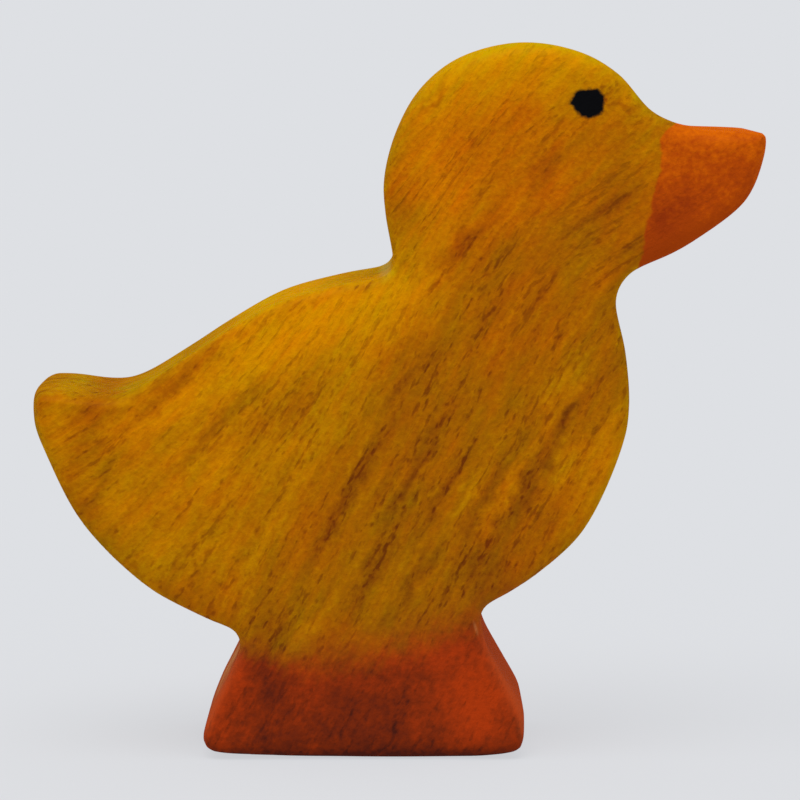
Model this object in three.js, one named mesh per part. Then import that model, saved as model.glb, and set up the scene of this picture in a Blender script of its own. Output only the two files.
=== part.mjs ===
// A flat toy duckling, sawn from one planed board, with every edge sanded round.
// Millimetres, +X towards the beak, +Y away from the side first seen, +Z up.
// The origin is on the underside, below the middle of the base.

import * as THREE from 'three';

// Driving dimensions
const boardThickness = 18;
const roundingSteps = 6; // facets across one rounded edge
const tightestRounding = 0.9; // widest rounding at a corner, as a share of the corner's radius
const coarsestStep = 2.2; // longest facet along a straight stretch of the outline
const coarsestTurn = THREE.MathUtils.degToRad(7); // largest turn of the outline in one facet
const finePoints = 4000; // points in the first, fine walk round the outline
const blendReach = 40; // fine points over which a narrowed rounding widens again

// The side outline, clockwise from the back of the head. Each point is [x, z, width, depth]: how wide the
// sanded edge is on the board's face, and how deep it goes into the side wall. Depth is as width unless
// given.
const crown = [
  [1.7, 48.35, 1.5],
  [2.75, 52.4, 1.7],
  [4.8, 56.0, 1.7],
  [8.1, 58.65, 1.7],
  [13.35, 60.0, 1.7],
  [18.1, 59.2, 1.7],
  [21.2, 57.4, 1.7],
];
const beak = [
  [24.1, 54.25, 1.7],
  [27.55, 52.9, 1.8],
  [29.65, 52.75, 1.8],
  [32.6, 52.6, 1.2, 3.1],
  [33.25, 52.4, 1.2, 3.1],
  [33.3, 50.5, 1.2, 3.1],
  [31.8, 46.95, 1.4],
  [27.35, 43.45, 1.5],
  [25.7, 42.5, 1.5],
];
const throat = [
  [22.15, 40.75, 1.6],
  [21.1, 38.8, 1.7],
  [21.9, 34.35, 1.6],
];
const breast = [
  [22.25, 30.2, 1.5],
  [21.85, 26.95, 1.5],
  [18.45, 19.3, 1.5],
  [14.55, 15.6, 1.5],
];
const frontNotch = [
  [12.35, 14.15, 1.3],
  [10.0, 12.55, 1.2],
  [10.3, 9.75, 1.3],
];
const baseFront = [
  [11.9, 6.7, 1.4],
  [13.5, 3.9, 1.4, 3.7],
  [13.6, 3.05, 1.4, 3.7],
  [13.2, 0.8, 1.4, 3.7],
];
const underside = [
  [10.3, 0.1, 1.8, 2.1],
  [8.0, 0, 2.0, 2.1],
  [4.8, 0, 2.2, 1.7],
  [1.6, 0, 2.2, 1.5],
  [-1.6, 0, 2.2, 1.8],
  [-4.8, 0, 2.2, 2.1],
  [-8.2, 0.2, 2.0, 2.1],
];
const baseBack = [
  [-13.0, 0.7, 1.0, 2.4],
  [-13.55, 1.55, 1.0, 2.4],
  [-12.7, 4.35, 1.0, 2.4],
  [-11.05, 7.65, 1.4],
];
const backNotch = [
  [-10.4, 9.4, 1.3],
  [-10.75, 10.7, 1.2],
  [-13.25, 11.9, 1.3],
];
const belly = [
  [-17.8, 14.3, 1.5],
  [-22.0, 18.05, 1.5],
  [-24.3, 21.05, 1.5],
  [-27.05, 26.7, 1.5],
];
// The tail's tip is sanded round across the whole board.
const tail = [
  [-27.8, 28.0, 1.2, 8.7],
  [-27.8, 30.6, 1.2, 8.7],
  [-27.05, 31.4, 1.2, 8.7],
  [-25.25, 31.5, 1.2, 8.7],
  [-20.4, 30.9, 1.2],
];
const back = [
  [-15.1, 33.7, 1.1],
  [-12.05, 35.7, 1.1],
  [-7.05, 38.5, 1.3],
  [-1.65, 40.0, 2.6, 1.6],
];
const nape = [
  [1.75, 40.75, 4.2, 1.6],
  [2.4, 41.5, 4.6, 1.6],
  [1.85, 45.6, 2.6, 1.6],
];
const outlinePoints = [
  crown, beak, throat, breast, frontNotch,
  baseFront, underside, baseBack,
  backNotch, belly, tail, back, nape,
].flat();

// What the outline's points say of one measure, at a place between two of them.
function between(measures, place) {
  const from = Math.floor(place);
  return THREE.MathUtils.lerp(measures[from], measures[(from + 1) % measures.length], place - from);
}

// A fine walk round the smooth outline, with the inward direction and the bend at each point.
function walkOutline() {
  const curve = new THREE.CatmullRomCurve3(
    outlinePoints.map(([x, z]) => new THREE.Vector3(x, z, 0)),
    true,
    'centripetal',
  );
  const widths = outlinePoints.map(([, , width]) => width);
  const depths = outlinePoints.map(([, , width, depth = width]) => depth);
  const walk = Array.from({ length: finePoints }, (_, i) => {
    const { x, y } = curve.getPoint(i / finePoints);
    const place = (i / finePoints) * outlinePoints.length;
    return {
      at: new THREE.Vector2(x, Math.max(y, 0)),
      width: between(widths, place),
      depth: between(depths, place),
    };
  });
  walk.forEach((here, i) => {
    const before = walk.at(i - 1).at;
    const after = walk[(i + 1) % finePoints].at;
    const arriving = here.at.clone().sub(before);
    const leaving = after.clone().sub(here.at);
    const along = after.clone().sub(before).normalize();
    here.step = leaving.length();
    here.turn = Math.atan2(-arriving.cross(leaving), arriving.dot(leaving)); // above 0 on a bulge
    here.inward = new THREE.Vector2(along.y, -along.x);
  });
  return walk;
}

// What combine makes of the values within reach of each place on the closed outline.
function blend(values, combine) {
  return values.map((_, i) => {
    const near = [];
    for (let offset = -blendReach; offset <= blendReach; offset += 1) {
      near.push(values.at((i + offset) % values.length));
    }
    return combine(near);
  });
}

// A rounding is no wider than a tight corner can take, and widens again gently on both sides of it.
function fitRoundings(walk) {
  const smallest = (near) => Math.min(...near);
  const mean = (near) => near.reduce((sum, value) => sum + value, 0) / near.length;
  const allowed = walk.map(({ width, step, turn }) => {
    const cornerRadius = turn > 0 ? step / turn : Infinity;
    return Math.min(width, tightestRounding * cornerRadius);
  });
  const widths = blend(blend(allowed, smallest), mean);
  const asked = blend(walk.map(({ width }) => width), mean);
  const depths = blend(walk.map(({ depth }) => depth), mean);
  walk.forEach((here, i) => {
    here.width = widths[i];
    here.depth = depths[i] * Math.min(1, widths[i] / asked[i]);
  });
}

// The points that the facets need: close together round corners, far apart on straights.
function thinOut(walk) {
  const kept = [];
  let owed = 1;
  for (const here of walk) {
    if (owed >= 1) {
      kept.push(here);
      owed -= 1;
    }
    owed += here.step / coarsestStep + Math.abs(here.turn) / coarsestTurn;
  }
  return kept;
}

// One ring of the body. Angle 0 is the sawn side wall and a quarter turn is the board's face.
function ring(outline, angle, side) {
  return outline.map(({ at, inward, width, depth }) => {
    const place = at.clone().addScaledVector(inward, width * (1 - Math.cos(angle)));
    const y = side * (boardThickness / 2 - depth * (1 - Math.sin(angle)));
    return new THREE.Vector3(place.x, y, place.y);
  });
}

function ducklingGeometry() {
  const walk = walkOutline();
  fitRoundings(walk);
  const outline = thinOut(walk);
  const angles = Array.from({ length: roundingSteps + 1 }, (_, i) => (i / roundingSteps) * (Math.PI / 2));
  const nearRings = angles.toReversed().map((angle) => ring(outline, angle, -1));
  const farRings = angles.map((angle) => ring(outline, angle, 1));
  const rings = [...nearRings, ...farRings];
  const count = outline.length;
  const index = [];

  for (let row = 0; row + 1 < rings.length; row += 1) {
    for (let i = 0; i < count; i += 1) {
      const next = (i + 1) % count;
      const near = row * count;
      const far = near + count;
      index.push(near + i, near + next, far + i, near + next, far + next, far + i);
    }
  }

  // The two flat faces of the board, the near one turned over to face out.
  const faceOutline = nearRings[0].map(({ x, z }) => new THREE.Vector2(x, z));
  const lastRing = (rings.length - 1) * count;
  for (const [a, b, c] of THREE.ShapeUtils.triangulateShape(faceOutline, [])) {
    index.push(a, b, c);
    index.push(lastRing + a, lastRing + c, lastRing + b);
  }

  const geometry = new THREE.BufferGeometry().setFromPoints(rings.flat());
  geometry.setIndex(index);
  geometry.computeVertexNormals();
  return geometry;
}

const stainedWood = new THREE.MeshStandardMaterial({ color: 0xaa6904, roughness: 0.55, metalness: 0 });
const duckling = new THREE.Mesh(ducklingGeometry(), stainedWood);
duckling.name = 'duckling';

const group = new THREE.Group();
group.add(duckling);

export default group;
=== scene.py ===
import math

import bmesh
import bpy
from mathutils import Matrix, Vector


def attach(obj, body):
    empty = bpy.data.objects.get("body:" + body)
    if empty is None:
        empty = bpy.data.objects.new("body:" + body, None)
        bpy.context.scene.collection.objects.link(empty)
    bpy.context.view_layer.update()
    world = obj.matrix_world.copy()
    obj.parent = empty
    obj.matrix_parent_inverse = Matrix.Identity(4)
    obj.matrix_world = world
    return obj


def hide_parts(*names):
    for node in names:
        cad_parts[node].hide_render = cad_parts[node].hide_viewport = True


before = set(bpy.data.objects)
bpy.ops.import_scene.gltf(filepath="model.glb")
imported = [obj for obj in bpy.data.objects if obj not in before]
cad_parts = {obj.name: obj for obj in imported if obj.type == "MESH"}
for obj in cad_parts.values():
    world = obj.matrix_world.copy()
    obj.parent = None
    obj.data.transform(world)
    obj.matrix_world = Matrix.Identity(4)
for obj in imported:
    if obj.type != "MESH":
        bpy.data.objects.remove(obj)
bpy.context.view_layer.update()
scene = bpy.context.scene
mm = 0.001


class Signal:
    tree = None  # the material that new nodes go into

    def __init__(self, socket):
        self.socket = socket

    @classmethod
    def node(cls, kind, settings=None, inputs=None, outputs=0):
        made = cls.tree.nodes.new("ShaderNode" + kind)
        for name, value in (settings or {}).items():
            setattr(made, name, value)
        for name, value in (inputs or {}).items():
            if isinstance(value, Signal):
                cls.tree.links.new(value.socket, made.inputs[name])
            else:
                made.inputs[name].default_value = value
        if isinstance(outputs, tuple):
            return [cls(made.outputs[output]) for output in outputs]
        return cls(made.outputs[outputs])

    @classmethod
    def maths(cls, operation, *values):
        return cls.node("Math", {"operation": operation}, dict(enumerate(values)))

    def __add__(self, other):
        return self.maths("ADD", self, other)

    def __radd__(self, other):
        return self.maths("ADD", other, self)

    def __sub__(self, other):
        return self.maths("SUBTRACT", self, other)

    def __rsub__(self, other):
        return self.maths("SUBTRACT", other, self)

    def __mul__(self, other):
        return self.maths("MULTIPLY", self, other)

    def __rmul__(self, other):
        return self.maths("MULTIPLY", other, self)

    def __truediv__(self, other):
        return self.maths("DIVIDE", self, other)

    def atLeast(self, other):
        return self.maths("MAXIMUM", self, other)

    def atMost(self, other):
        return self.maths("MINIMUM", self, other)

    def size(self):
        return self.maths("ABSOLUTE", self)

    def ramp(self, start, end):  # 0 below start, 1 above end, eased between
        settings = {"interpolation_type": "SMOOTHSTEP"}
        return self.node("MapRange", settings, {0: self, 1: start, 2: end})


def vector(x, y, z):
    return Signal.node("CombineXYZ", None, {0: x, 1: y, 2: z})


def noise(place, detail):  # from about -0.5 to 0.5
    inputs = {"Vector": place, "Scale": 1.0, "Detail": detail, "Roughness": 0.5}
    return Signal.node("TexNoise", None, inputs) - 0.5


def mixColour(factor, first, second):
    return Signal.node("Mix", {"data_type": "RGBA"}, {"Factor": factor, 6: first, 7: second}, 2)


def tint(shade, red, green, blue):
    return Signal.node("VectorMath", {"operation": "MULTIPLY"}, {0: shade, 1: vector(red, green, blue)})


def threeShades(tone, paint):  # deep for a tone of 0, middle for a half and bright for 1
    lower = mixColour((tone * 2).atLeast(0).atMost(1), paint["deep"], paint["middle"])
    return mixColour((tone * 2 - 1).atLeast(0).atMost(1), lower, paint["bright"])


def layered(value, layers, noiseOf):  # adds layers of noise, whose last number is a strength
    for *shape, strength in layers:
        value = value + noiseOf(*shape) * strength
    return value


faceLight = 0.87  # how brightly the light falls on the face seen first


def stain(red, green, blue):  # from 0 to 255, as the lit face shows it on a screen
    steps = [value / 255 for value in (red, green, blue)]
    linear = [s / 12.92 if s <= 0.04045 else ((s + 0.055) / 1.055) ** 2.4 for s in steps]
    return tuple(value / faceLight for value in linear) + (1.0,)


# body: the sawn board, smoothed off its facets
body = {
    "faceDepth": 0.01 * mm,  # how near the board's face a vertex counts as on it
    "weld": 0.0001 * mm,
    "subdivisions": 2,
    "voxel": 0.3 * mm,
    "smoothing": 0.5,
    "smoothingRounds": 2,
    "swellSize": 11 * mm,  # hand sanding leaves the faces a little uneven
    "swell": 0.16 * mm,
    "rippleSize": 2.6 * mm,
    "ripple": 0.05 * mm,
    "sandedFrom": 7.9 * mm,  # the unevenness starts here, so that the outline stays true
    "sandedFully": 8.9 * mm,
}


def bakeModifiers(piece):
    depsgraph = bpy.context.evaluated_depsgraph_get()
    mesh = bpy.data.meshes.new_from_object(piece.evaluated_get(depsgraph))
    piece.modifiers.clear()
    piece.data = mesh


def addModifier(piece, kind, **settings):
    modifier = piece.modifiers.new(kind.lower(), kind)
    for name, value in settings.items():
        setattr(modifier, name, value)


def smoothedBoard(node):
    mesh = bpy.data.meshes.new("ducklingWood")
    sheet = bmesh.new()
    sheet.from_mesh(node.data)
    bmesh.ops.remove_doubles(sheet, verts=sheet.verts, dist=body["weld"])
    halfBoard = max(v.co.y for v in sheet.verts)

    def onFace(face):
        return all(abs(v.co.y) > halfBoard - body["faceDepth"] for v in face.verts)

    bmesh.ops.delete(sheet, geom=[f for f in sheet.faces if onFace(f)], context="FACES")
    bmesh.ops.join_triangles(
        sheet, faces=sheet.faces, angle_face_threshold=math.pi, angle_shape_threshold=math.pi
    )
    sheet.to_mesh(mesh)
    sheet.free()
    piece = bpy.data.objects.new("ducklingWood", mesh)
    scene.collection.objects.link(piece)
    levels = body["subdivisions"]
    addModifier(piece, "SUBSURF", levels=levels, render_levels=levels, boundary_smooth="ALL")
    bakeModifiers(piece)

    closed = bmesh.new()  # the two faces go back on, each as one flat polygon
    closed.from_mesh(piece.data)
    bmesh.ops.holes_fill(closed, edges=[e for e in closed.edges if e.is_boundary])
    bmesh.ops.recalc_face_normals(closed, faces=closed.faces)
    closed.to_mesh(piece.data)
    closed.free()
    return piece


def handSand(piece):
    addModifier(piece, "REMESH", mode="VOXEL", voxel_size=body["voxel"], use_smooth_shade=True)
    addModifier(piece, "SMOOTH", factor=body["smoothing"], iterations=body["smoothingRounds"])
    bakeModifiers(piece)
    low, high = body["sandedFrom"], body["sandedFully"]
    group = piece.vertex_groups.new(name="sanded")
    for vertex in piece.data.vertices:
        share = (abs(vertex.co.y) - low) / (high - low)
        group.add([vertex.index], min(1, max(0, share)), "REPLACE")
    for name in ("swell", "ripple"):
        texture = bpy.data.textures.new(name, "CLOUDS")
        texture.noise_scale = body[name + "Size"]
        addModifier(  # it only ever goes inwards
            piece, "DISPLACE", texture=texture, strength=body[name], mid_level=1.0,
            texture_coords="LOCAL", vertex_group="sanded",
        )
    bakeModifiers(piece)
    piece.vertex_groups.clear()
    piece.data.shade_smooth()


# grain: in millimetres. A noise has a length, a width and a shift, which picks another part of it
grain = {
    "lean": 61,  # degrees that it climbs at, through the belly
    "bendFrom": 35,  # along it, where it starts to lie over towards the beak
    "bend": 0.007,
    "fanFrom": 16,  # across it, where it starts to fan out towards the tail
    "fan": 0.022,
    "fanCentre": 18,
    "waves": (3.0, 1.6, 2.5),  # along, across and through the board
    "waviness": 0.5,
    "throat": (24, 44.5),  # round here it runs out along the beak
    "throatReach": (13, 10),
    "throatStrength": 2,
    "throatLean": 34,
    "headward": (40, 50),  # the height over which it turns to grit
    "lineDepth": 1.4,  # through the board, for each millimetre of width
    "poreDepth": 1.3,
    "nap": (0.9, 0.38, 3.1),  # the rough surface between the pores
    "rows": (8.0, 0.6, 31.0),  # the open pores lie in rows
    "rowStrength": 0.9,
    "rowLevel": -0.08,
    "widePores": (0.95, 0.36, 0.0),
    "wideLimits": (0.02, 0.24),
    "narrowPores": (0.6, 0.3, 5.5),
    "narrowShare": 0.6,
    "narrowLimits": (0.01, 0.23),
    "grit": (0.42, 5.0),  # size and shift
    "speckle": (0.2, 0.0, 1),
}

# wood: places are millimetres on the side seen first, x towards the beak and z up
wood = {
    "edge": (7.8, 8.97),  # from the board's middle: the sawn wall, then the face
    "raggedX": [(1.8, 9.0, 2.2)],  # size, shift and strength of the noise that makes marks ragged
    "raggedZ": [(1.8, 17.0, 2.2)],
    "tone": 0.44,  # from 0, the deepest stain, to 1, the palest
    "toneLines": [  # length, width, shift and strength
        (14, 6, 0.0, 0.15),
        (10, 1.2, 7.3, 0.28),
        (4.5, 0.65, 12.1, 0.3),
    ],
    "edgeTone": 0.1,
    "hue": -0.35,  # above 0 is yellower
    "hueLines": [(8, 4, 21.0, 2.4), (2.5, 1.0, 26.0, 2.1)],
    "edgeHue": 1.2,
    "lessRed": 0.13,  # what a hue of 1 does
    "moreGreen": 0.1,
    "napTone": (0.28, -0.18),  # how strongly it shows, and how that changes up the head
    "gritTone": (0.31, 0.08),
    "speckleTone": 0.06,
    "wideTone": 0.16,
    "narrowTone": 0.1,
    "poreFading": (1.85, 1.7),  # the pores show less on a paler tone
    "headFading": 0.5,
    "throatFading": 0.3,
    "fineHue": 1.5,  # paler fine grain is yellower too
    "poreShade": 0.2,  # how far a wide pore takes its own colour
    "deep": stain(108, 54, 7),
    "middle": stain(162, 98, 2),
    "bright": stain(208, 140, 0),
    "pore": stain(82, 38, 6),
    "relief": {"rough": 1.7, "wide": 0.12, "narrow": 0.06, "depth": 0.2 * mm},
    "roughness": 0.55,
    "napRoughness": 0.15,
    "wax": 0.02,
    "waxRoughness": 0.35,
    "napeShine": (1.8, 41.0, 0.9, 0.9),  # wax has gathered in the nape's notch
    "napeWax": 0.13,
}

# broad tones, partly the stain's own and partly painted light: paler up the head, along the back and
# over the tail, where light falls from above and the left. x, z, lean, reach along and across, paler,
# yellower
tonesAndPaintedLight = [
    (13, 61, 0, 16, 11, 0.52, 0.1),
    (8, 56.5, 40, 6, 3, 0.1, 0.0),
    (5.5, 50.5, 0, 5.5, 9, 0.2, -0.2),
    (22.5, 55, 0, 4, 4, 0.12, 0.4),
    (12, 50, 0, 13, 9, 0.12, -1.2),
    (23.5, 50, 90, 5, 2.5, 0.16, 0.0),
    (8, 45, 40, 9, 5, 0.14, -0.45),
    (22, 47, 0, 6, 6, -0.04, -0.9),
    (-4.5, 37, 25, 17, 6.5, 0.5, -0.2),
    (4.5, 38, 20, 8, 4, 0.16, 0.0),
    (-1.5, 30.5, 60, 9, 3.5, 0.2, 0.0),
    (-13, 26, 0, 13, 13, 0.23, 0.3),
    (-18, 29, 30, 7, 2.5, 0.2, -0.2),
    (-25.5, 27.5, 70, 7, 3, 0.24, 0.0),
    (-20.5, 21.5, -50, 6, 3, 0.14, 0.2),
    (-14, 17.5, 0, 11, 5, 0.14, 0.3),
    (20, 24.5, 70, 9, 4, 0.26, -0.2),
    (1, 18, 60, 9, 6, 0.02, 0.6),
    (13, 38, 0, 7, 8, 0.02, -0.9),
]

# stretches of grain, darker or paler, and a painted highlight: x, z, lean, reach along and across,
# paler, yellower
streaks = [
    (14, 23.5, 60, 8.5, 1.3, -0.28, -0.1),
    (17.2, 29, 60, 2.6, 0.8, -0.4, 0.2),
    (-1, 23, 60, 12, 1.1, -0.3, -0.1),
    (4, 24, 60, 10, 0.9, -0.27, 0.0),
    (4.5, 15.5, 60, 7, 1.2, -0.28, 0.0),
    (0.5, 15.5, 60, 8, 1.6, -0.28, 0.0),
    (10, 16.5, 50, 5, 3.5, -0.22, 0.0),
    (10, 22, 60, 6.5, 0.8, -0.2, 0.0),
    (6.5, 22.5, 60, 7, 0.8, -0.25, 0.0),
    (3.5, 32, 50, 5.5, 0.8, -0.22, 0.0),
    (-15.5, 32, 45, 8, 1.4, -0.34, -0.2),
    (-12.5, 28, 50, 7, 0.9, -0.2, 0.0),
    (-9, 31.5, 50, 4, 1.2, -0.2, 0.0),
    (-22.5, 30, 45, 4, 2, -0.12, -0.9),
    (-21.5, 24, 60, 4, 0.8, -0.18, 0.0),
    (-8, 11, 80, 3.5, 2.5, -0.2, 0.2),
    (-1, 40, 20, 9, 1.2, -0.16, 0.0),
    (8.5, 43.5, 40, 6.5, 1, -0.24, -0.2),
    (19.5, 46, 30, 6, 0.8, -0.22, -0.2),
    (22, 43, 30, 3, 1, -0.22, 0.0),
    (15, 49.5, 60, 4, 1.2, -0.24, -0.2),
    (13, 54, 40, 3.5, 1.3, -0.22, -0.3),
    (6, 55.5, 50, 2.5, 0.5, -0.24, -0.2),
    (-7, 20.5, 60, 12, 1.2, 0.14, 0.2),
    (16.5, 31.5, 60, 5, 2, 0.24, 0.2),
    (16.5, 25, 70, 5, 1.6, 0.2, 0.3),
    (7.5, 20.5, 60, 6, 0.9, 0.22, 0.2),
    (12, 23, 60, 6.5, 0.9, 0.16, 0.1),
    (-5, 10.5, 60, 4, 1.3, 0.2, 0.0),
    (21.5, 54.5, -20, 2, 0.3, -0.2, -0.3),  # small marks beside the eye
    (20.2, 55.3, 0, 0.3, 0.3, -0.4, -0.5),
    (19.6, 56.3, 50, 0.5, 0.25, -0.4, -0.3),
    (1.8, 41, 0, 1.1, 1, 0.1, 0.8),  # a painted highlight in the notch at the nape
]


def turned(x, z, degrees):  # places along and across a line that climbs at this lean
    lean = math.radians(degrees)
    return x * math.cos(lean) + z * math.sin(lean), z * math.cos(lean) - x * math.sin(lean)


def softSpot(first, second, firstMiddle, secondMiddle, firstReach, secondReach):
    du = (first - firstMiddle) / firstReach
    dv = (second - secondMiddle) / secondReach
    near = (1 - du * du - dv * dv).atLeast(0)
    return near * near


def marked(x, z, marks, *values):  # each mark changes the values by what stands at its end
    leans = {mark[2]: turned(x, z, mark[2]) for mark in marks}
    for markX, markZ, lean, reachAlong, reachAcross, *changes in marks:
        near = softSpot(*leans[lean], *turned(markX, markZ, lean), reachAlong, reachAcross)
        values = [value + near * change if change else value for value, change in zip(values, changes)]
    return values


def curveThrough(signal, points):
    low, high = points[0][0], points[-1][0]
    made = Signal.tree.nodes.new("ShaderNodeFloatCurve")
    curve = made.mapping.curves[0]
    values = [value for _, value in points]
    lowest, highest = min(values), max(values)
    for i, (at, value) in enumerate(points):
        spot = ((at - low) / (high - low), (value - lowest) / (highest - lowest))
        if i == 0 or i == len(points) - 1:
            curve.points[0 if i == 0 else -1].location = spot
        else:
            curve.points.new(*spot)
    made.mapping.update()
    Signal.tree.links.new(((signal - low) / (high - low)).socket, made.inputs["Value"])
    return Signal(made.outputs[0]) * (highest - lowest) + lowest


def newMaterial(name):
    material = bpy.data.materials.new(name)
    material.use_nodes = True
    Signal.tree = material.node_tree
    Signal.tree.nodes.clear()
    return material


def surface(inputs):
    shader = Signal.node("BsdfPrincipled", None, inputs)
    output = Signal.tree.nodes.new("ShaderNodeOutputMaterial")
    Signal.tree.links.new(shader.socket, output.inputs["Surface"])


class Place:  # a spot in the wood, in millimetres, and where it lies along the grain
    def __init__(self):
        spot = Signal.node("TexCoord", outputs="Object")
        axes = Signal.node("SeparateXYZ", None, {0: spot}, (0, 1, 2))
        self.x, self.y, self.z = (axis / mm for axis in axes)
        self.edge = 1 - self.y.size().ramp(*wood["edge"])  # 1 on the sawn walls
        self.strayX = layered(self.x, wood["raggedX"], self.cloud)
        self.strayZ = layered(self.z, wood["raggedZ"], self.cloud)

        along, across = turned(self.x, self.z, grain["lean"])
        bent = (along - grain["bendFrom"]).atLeast(0)
        fanned = (across - grain["fanFrom"]).atLeast(0)
        across = across + bent * bent * grain["bend"]
        across = across + fanned * (along - grain["fanCentre"]) * grain["fan"]
        waveLength, waveWidth, waveDepth = grain["waves"]
        wave = noise(vector(along / waveLength, across / waveWidth, self.y / waveDepth), 1)
        self.along = along
        self.across = across + wave * grain["waviness"]
        atThroat = softSpot(self.x, self.z, *grain["throat"], *grain["throatReach"])
        self.nearThroat = (atThroat * grain["throatStrength"]).atMost(1)
        self.headward = self.z.ramp(*grain["headward"])

    def cloud(self, size, shift=0.0, detail=2.0):  # even noise
        return noise(vector(self.x / size + shift, self.y / size, self.z / size), detail)

    def lines(self, length, width, shift=0.0, detail=2.0):  # noise drawn out along the grain
        depth = grain["lineDepth"] * width
        return noise(vector(self.along / length + shift, self.across / width, self.y / depth), detail)


def poresAlong(u, v, y):  # the rough nap, the wide pores and the narrow ones
    def strokes(name):
        length, width, shift = grain[name]
        return noise(vector(u / length + shift, v / width, y / (grain["poreDepth"] * width)), 1)

    rows = strokes("rows") * grain["rowStrength"] + grain["rowLevel"]
    wide = (rows - strokes("widePores")).ramp(*grain["wideLimits"])
    narrow = (rows * grain["narrowShare"] - strokes("narrowPores")).ramp(*grain["narrowLimits"])
    return strokes("nap"), wide, narrow


def finePattern(place):
    throatward = turned(place.x, place.z, grain["throatLean"])
    both = zip(poresAlong(place.along, place.across, place.y), poresAlong(*throatward, place.y))
    nap, wide, narrow = (first + (second - first) * place.nearThroat for first, second in both)
    napTone, napChange = wood["napTone"]
    gritTone, gritChange = wood["gritTone"]
    rough = nap * (napTone + place.headward * napChange)
    rough = rough + place.cloud(*grain["grit"]) * (gritTone + place.headward * gritChange)
    rough = rough + place.cloud(*grain["speckle"]) * wood["speckleTone"]
    return nap, wide, narrow, rough


def bodyTone(place):  # how pale the stain is, with painted light and a painted highlight in it, and how yellow
    tone = layered(wood["tone"], wood["toneLines"], place.lines)
    yellower = layered(wood["hue"], wood["hueLines"], place.lines)
    tone, yellower = marked(place.strayX, place.strayZ, tonesAndPaintedLight + streaks, tone, yellower)
    return tone + place.edge * wood["edgeTone"], yellower + place.edge * wood["edgeHue"]


def poreTone(place, tone, wide, narrow):
    most, fading = wood["poreFading"]
    faint = 1 - place.headward * wood["headFading"] - place.nearThroat * wood["throatFading"]
    return (wide * wood["wideTone"] + narrow * wood["narrowTone"]) * (most - tone * fading) * faint


def bodyStain(tone, yellower, wide):
    shade = threeShades(tone, wood)
    shade = tint(shade, 1 - yellower * wood["lessRed"], 1 + yellower * wood["moreGreen"], 1.0)
    return mixColour(wide * wood["poreShade"], shade, wood["pore"])


# beak: its stain stops at a brushed edge
beakPaint = {
    "border": [  # height, and how far forward it starts there
        (53.3, 25.9), (52.6, 25.0), (51.7, 24.6), (50.3, 24.6), (48.7, 24.35), (47.0, 23.9),
        (45.5, 23.6), (41.8, 22.9),
    ],
    "wavering": [(1.2, 2.0, 3, 0.8)],  # size, shift, detail and strength of the noise
    "softness": 0.16,  # the border fades over this much on either side
    "foot": (38, 39),  # it reaches down no further, on the breast
    "deep": stain(140, 48, 9),
    "middle": stain(172, 68, 6),
    "bright": stain(206, 96, 4),
    "tone": 0.5,
    "toneHeight": 49,  # it has its tone here, and is paler above, partly as painted light from above
    "climb": 0.08,
    "clouds": [(2.2, 31.0, 0.65), (0.45, 37.0, 0.75)],
    "deepest": 0.2,
    "edgeTone": 0.08,
    "marks": [  # x, z, lean, reach along and across, paler
        (25.6, 46.2, 45, 3.2, 1.4, -0.22),
        (31.3, 50.4, 60, 1.8, 0.6, -0.2),
        (28.5, 46, 50, 4, 1.5, 0.15),
        (24.3, 49.5, 80, 2.5, 1, 0.15),
    ],
}


def beakStain(place, fine):  # where it lies, and its colour
    border = curveThrough(0 - place.z, [(-height, forward) for height, forward in beakPaint["border"]])
    past = layered(place.x, beakPaint["wavering"], place.cloud) - border
    onBeak = past.ramp(-beakPaint["softness"], beakPaint["softness"]) * place.z.ramp(*beakPaint["foot"])
    tone = beakPaint["tone"] + (place.z - beakPaint["toneHeight"]) * beakPaint["climb"]
    tone = layered(tone, beakPaint["clouds"], place.cloud) + fine
    [tone] = marked(place.strayX, place.strayZ, beakPaint["marks"], tone.atLeast(beakPaint["deepest"]))
    return onBeak, threeShades(tone + place.edge * beakPaint["edgeTone"], beakPaint)


# base: its stain has crept up the grain into the belly
basePaint = {
    "border": [  # x, and how high it reaches there
        (-11, 9.8), (-9, 9.5), (-7, 9.0), (-4, 9.2), (0, 9.7), (3, 10.5), (5, 11.1), (7, 11.8),
        (9, 12.6), (11, 13.4),
    ],
    "wavering": [(1.2, 51.0, 3, 1.2)],
    "creeping": [(1.5, 0.5, 15.0, 3, 2.0)],  # along the grain
    "blur": 1.5,
    "creepBlur": 1.5,  # the border blurs by this much more in front of here
    "creepFrom": (-8, -4),
    "deep": stain(72, 27, 18),
    "middle": stain(122, 41, 13),
    "bright": stain(166, 53, 12),
    "tone": 0.45,
    "clouds": [(2.0, 41.0, 0.8), (0.6, 47.0, 0.55)],
    "fine": 0.9,  # how strongly the fine grain shows
    "footHeight": 1.3,  # painted shade darkens it below this, where it meets the floor
    "footPaintedShade": -0.5,
    "wallFoot": (0.8, 3),  # the sawn walls turn paler over this height, with painted light
    # how much paler painted light makes the base's sawn walls
    "wallPaintedLight": 0.35,
    "marks": [  # x, z, lean, reach along and across, paler
        (9.5, 4.8, 0, 6.5, 5.4, 0.55),
        (8, 10, 0, 5, 4, 0.2),
        (2, 9.5, 0, 7, 2.5, 0.4),
        (-11.5, 5, 0, 3.5, 6, 0.35),
        (-5, 7, 0, 3, 3, 0.28),
        (1, 3, 0, 7, 4, -0.06),
        (-8, 6.5, 88, 5, 0.7, -0.1),
    ],
}


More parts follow.
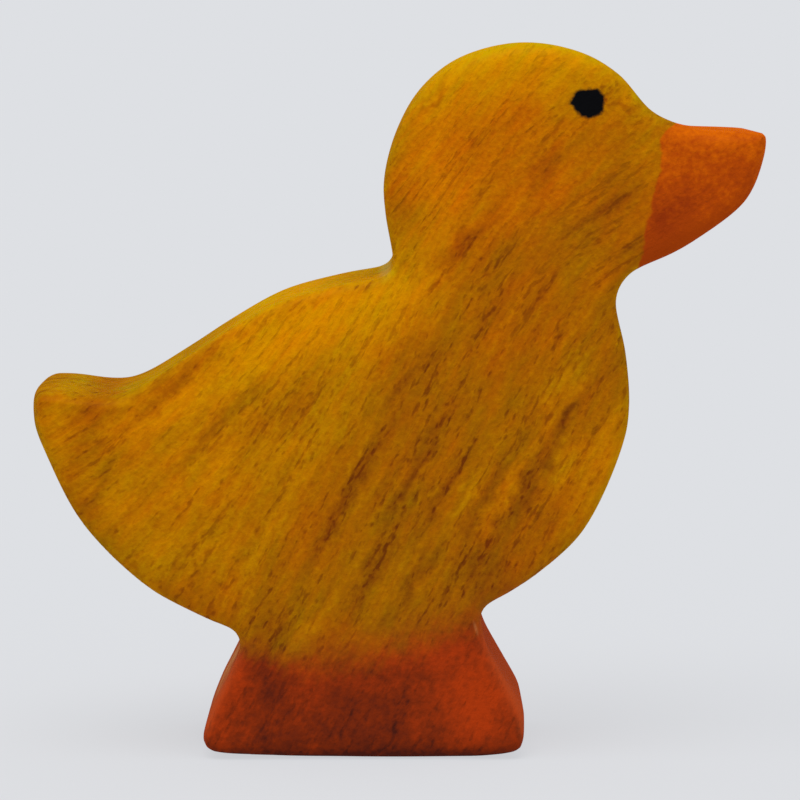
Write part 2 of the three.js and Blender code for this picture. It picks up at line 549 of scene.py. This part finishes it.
def baseStain(place, fine):  # where it lies, where its walls are, and its colour
    reach = curveThrough(place.x, basePaint["border"]) - place.z
    reach = layered(reach, basePaint["wavering"], place.cloud)
    reach = layered(reach, basePaint["creeping"], place.lines)
    blur = basePaint["blur"] + place.x.ramp(*basePaint["creepFrom"]) * basePaint["creepBlur"]
    onBase = (reach / blur).ramp(-1, 1)
    footHeight = basePaint["footHeight"]
    tone = layered(basePaint["tone"], basePaint["clouds"], place.cloud) + fine * basePaint["fine"]
    # painted shade along the foot, where the base meets the floor
    tone = tone + (footHeight - place.z).ramp(0, footHeight) * basePaint["footPaintedShade"]
    [tone] = marked(place.strayX, place.z, basePaint["marks"], tone)
    # the base's sawn walls, which get painted light and painted highlights
    wall = place.edge * place.z.ramp(*basePaint["wallFoot"])
    return onBase, wall, threeShades(tone + wall * basePaint["wallPaintedLight"], basePaint)


# the base's painted highlights: pale reflected light painted along its sawn walls and on two of its
# edges
paintedHighlight = {
    # the colour of the painted highlight
    "wood": stain(216, 154, 94),
    "walls": 0.07,  # how strongly the painted highlight covers the base's sawn walls
    "mottled": 0.6,  # a mark on a wall is this strong, more or less
    "mottling": [(1.4, 71.0, 2.0)],
    "middle": (0, 8.5),  # from the board's middle, where a mark on a wall fades out
    "edge": (7.2, 8.0),  # and where a mark on an edge begins
    "marks": [  # x, z, lean, reach along and across, how strong the painted highlight is on a wall and on an edge
        (-11.6, 7.2, 63, 5.5, 1.2, 0.9, 0),
        (9.4, 11.2, -73, 0.9, 0.2, 0, 0.18),
    ],
}


# where the base's painted highlights lie
def paintedHighlightCover(place, onBase, wall):
    highlightOnWall, highlightOnEdge = marked(place.x, place.z, paintedHighlight["marks"], 0, 0)
    mottled = layered(paintedHighlight["mottled"], paintedHighlight["mottling"], place.cloud).atLeast(0)
    highlightOnWall = highlightOnWall * mottled * (1 - place.y.size().ramp(*paintedHighlight["middle"])) + wall * paintedHighlight["walls"]
    return (onBase * highlightOnWall + highlightOnEdge * place.y.size().ramp(*paintedHighlight["edge"])).atMost(1)


# eye: a dab of paint
eye = {
    "corners": [  # clockwise from its left end
        (16.9, 55.15), (17.75, 56.2), (19.4, 56.2), (19.85, 55.6), (19.85, 54.4), (19.4, 53.9),
        (18.6, 53.75), (17.8, 54.0),
    ],
    "rounding": 0.3,
    "ragged": [(0.5, 61.0, 0.5)],  # size, shift and strength of the noise at its edge
    "softness": 0.17,
    "paint": stain(11, 11, 13),
}


def insideOf(x, z, corners, rounding):  # how far inside a flat-sided patch
    inside = None
    for (fromX, fromZ), (toX, toZ) in zip(corners, corners[1:] + corners[:1]):
        length = math.hypot(toX - fromX, toZ - fromZ)
        depth = (x - fromX) * ((toZ - fromZ) / length) - (z - fromZ) * ((toX - fromX) / length)
        inside = depth if inside is None else Signal.maths("SMOOTH_MIN", inside, depth, rounding)
    return inside


def eyeDab(place):
    inside = insideOf(place.x, place.z, eye["corners"], eye["rounding"])
    return layered(inside, eye["ragged"], place.cloud).ramp(-eye["softness"], eye["softness"])


def stainedWood():
    material = newMaterial("stainedWood")
    place = Place()
    nap, wide, narrow, rough = finePattern(place)
    tone, yellower = bodyTone(place)
    fine = rough - poreTone(place, tone, wide, narrow)
    onBeak, beak = beakStain(place, fine)
    onBase, wall, base = baseStain(place, fine)

    colour = bodyStain(tone + fine, yellower + fine * wood["fineHue"], wide)
    colour = mixColour(onBeak, colour, beak)
    colour = mixColour(onBase, colour, base)
    # the painted highlights on the base
    colour = mixColour(paintedHighlightCover(place, onBase, wall), colour, paintedHighlight["wood"])
    colour = mixColour(eyeDab(place), colour, eye["paint"])

    relief = wood["relief"]
    height = rough * relief["rough"] - wide * relief["wide"] - narrow * relief["narrow"]
    bump = Signal.node("Bump", None, {"Strength": 1.0, "Distance": relief["depth"], "Height": height})
    shine = softSpot(place.x, place.z, *wood["napeShine"]) * place.edge
    surface({
        "Base Color": colour,
        "Roughness": wood["roughness"] + nap * wood["napRoughness"],
        "Coat Weight": shine * wood["napeWax"] + wood["wax"],
        "Coat Roughness": wood["waxRoughness"],
        "Normal": bump,
        "Specular IOR Level": 0.0,
    })
    return material


# stage: one wide pale floor, lit from within a little, as bright as the sky that it meets
stage = {
    "radius": 25,
    "sides": 64,
    "pale": (0.152, 0.152, 0.152, 1.0),
    "glow": 0.78,
}


def buildStage():
    disc = bmesh.new()
    bmesh.ops.create_circle(disc, cap_ends=True, segments=stage["sides"], radius=stage["radius"])
    mesh = bpy.data.meshes.new("floor")
    disc.to_mesh(mesh)
    disc.free()
    floor = bpy.data.objects.new("floor", mesh)
    scene.collection.objects.link(floor)
    floor.data.materials.append(newMaterial("paleFloor"))
    surface({
        "Base Color": stage["pale"],
        "Roughness": 1.0,
        "Specular IOR Level": 0.0,
        "Emission Color": light["sky"],
        "Emission Strength": stage["glow"],
    })


# light: an even pale sky, and a wide soft lamp high above the front
light = {
    "sky": (0.730, 0.745, 0.775, 1.0),
    "lamp": (0.942, 0.961, 1.0),
    "lampPower": 1.17,
    "lampWidth": math.radians(40),
    "lampHeight": math.radians(70),
    "lampTurn": math.radians(20),  # to the left of the camera
}


def aimAt(thing, target):
    thing.rotation_euler = (Vector(target) - thing.location).to_track_quat("-Z", "Y").to_euler()


def buildLight():
    world = bpy.data.worlds.new("sky")
    world.use_nodes = True
    world.node_tree.nodes["Background"].inputs["Color"].default_value = light["sky"]
    scene.world = world
    lamp = bpy.data.lights.new("lamp", "SUN")
    lamp.color = light["lamp"]
    lamp.energy = light["lampPower"]
    lamp.angle = light["lampWidth"]
    made = bpy.data.objects.new("lamp", lamp)
    level = math.cos(light["lampHeight"])
    made.location = (
        -level * math.sin(light["lampTurn"]),
        -level * math.cos(light["lampTurn"]),
        math.sin(light["lampHeight"]),
    )
    scene.collection.objects.link(made)
    aimAt(made, (0, 0, 0))


# camera: level with the top of the head, a long lens five times the figure's height away
camera = {
    "place": (2.615 * mm, -301.7 * mm, 60.19 * mm),
    "target": (3.073 * mm, 0, 29.52 * mm),
    "lens": 159.4,
    "sensor": 36.0,
    "nearest": 0.01,  # in metres
    "farthest": 20,
}


def buildCamera():
    data = bpy.data.cameras.new("camera")
    data.lens = camera["lens"]
    data.sensor_width = camera["sensor"]
    data.clip_start = camera["nearest"]
    data.clip_end = camera["farthest"]
    made = bpy.data.objects.new("camera", data)
    made.location = camera["place"]
    scene.collection.objects.link(made)
    aimAt(made, camera["target"])
    scene.camera = made


buildCamera()
print("camera is in place")

duckling = smoothedBoard(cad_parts["duckling"])
handSand(duckling)
duckling.data.materials.clear()
duckling.data.materials.append(stainedWood())
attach(duckling, "root")
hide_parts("duckling")
print("duckling has", len(duckling.data.polygons), "faces")

buildStage()
buildLight()
scene.view_settings.view_transform = "Standard"
print("stage and light are in place")
